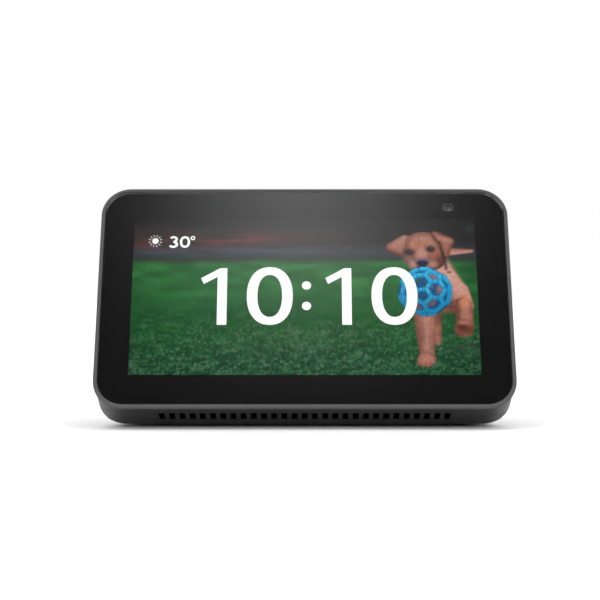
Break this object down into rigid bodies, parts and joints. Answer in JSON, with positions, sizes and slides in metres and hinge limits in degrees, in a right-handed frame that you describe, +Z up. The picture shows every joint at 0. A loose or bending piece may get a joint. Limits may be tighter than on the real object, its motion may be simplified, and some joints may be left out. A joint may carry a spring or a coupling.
{
  "type": "smart display",
  "caption": "Small smart display: a glass-fronted wedge on a flat foot, with press buttons and a camera shutter on top, sound slots under the screen and a knitted back.",
  "frame": {"origin": "middle of the base, at table level", "axes": "+Z up, -Y out of the screen side, +X to the right seen from the front"},
  "size_m": [0.148, 0.073, 0.0857],
  "materials": {
    "frame_plastic": "fine-grained charcoal moulding",
    "cap_plastic": "satin charcoal",
    "cover_glass": "polished",
    "ink": "printed black",
    "screen": "lit picture",
    "clear_film": "clear",
    "light_guide": "white",
    "foam": "black foam tape",
    "steel": "plain",
    "alloy": "die cast",
    "board": "solder mask",
    "flex": "amber film",
    "component": "black",
    "connector": "ivory",
    "pad": "soft",
    "copper": "foil and wire",
    "blade": "pale",
    "shell": "moulded",
    "knit": "charcoal knit",
    "foot_rubber": "soft matt",
    "basket": "grey",
    "surround": "half roll",
    "paper": "pressed paper",
    "cloth": "resin-dipped cloth",
    "ferrite": "sintered"
  },
  "bodies": {
    "root": {"front_frame": "frame_plastic", "cover_glass": "cover_glass", "camera_lens": "cover_glass", "ink_mask": "ink", "lcd_panel": "screen", "optical_adhesive": "clear_film", "backlight": "light_guide", "glass_adhesive": "foam", "speaker_gasket": "foam", "mic_seals": "foam", "display_tray": "steel", "shield_can": "steel", "frame_screws": "steel", "board_screws": "steel", "base_screws": "steel", "speaker_screws": "steel", "top_plate": "steel", "yoke": "steel", "usb_port": "steel", "power_jack_pin": "steel", "dome_switches": "steel", "microphones": "steel", "mid_frame": "alloy", "heat_spreader": "alloy", "camera_board": "board", "button_board": "board", "main_board": "board", "port_board": "board", "display_flex": "flex", "camera_flex": "flex", "button_flex": "flex", "camera_module": "component", "processor": "component", "power_jack": "component", "shutter_guide": "component", "port_cable": "component", "board_connectors": "connector", "thermal_pad": "pad", "wifi_antennas": "copper", "speaker_leads": "copper", "rear_shell": "shell", "base_plate": "shell", "port_bezel": "shell", "speaker_box": "shell", "fabric_cover": "knit", "rubber_foot": "foot_rubber", "speaker_frame": "basket", "speaker_surround": "surround", "spider": "cloth", "magnet": "ferrite"},
    "shutter": {"shutter_slider": "cap_plastic", "shutter_blade": "blade"},
    "volume_down": {"volume_down_button": "cap_plastic"},
    "volume_up": {"volume_up_button": "cap_plastic"},
    "mic_mute": {"mic_button": "cap_plastic"},
    "cone": {"speaker_cone": "paper", "dust_cap": "paper", "voice_coil": "copper"}
  },
  "joints": [
    {"name": "shutter_slide", "type": "slide", "parent": "root", "child": "shutter", "axis": [-1, 0, 0], "range_m": [0, 0.0056]},
    {"name": "volume_down_press", "type": "slide", "parent": "root", "child": "volume_down", "axis": [0, -0.4305, -0.9026], "range_m": [0, 0.0004], "stiffness_N_per_m": 2500},
    {"name": "volume_up_press", "type": "slide", "parent": "root", "child": "volume_up", "axis": [0, -0.4305, -0.9026], "range_m": [0, 0.0004], "stiffness_N_per_m": 2500},
    {"name": "mic_press", "type": "slide", "parent": "root", "child": "mic_mute", "axis": [0, -0.4305, -0.9026], "range_m": [0, 0.0004], "stiffness_N_per_m": 2500},
    {"name": "cone_travel", "type": "slide", "parent": "root", "child": "cone", "axis": [0, 0, -1], "range_m": [-0.0008, 0.0008], "stiffness_N_per_m": 1500, "deforming": ["speaker_surround", "spider"]}
  ]
}
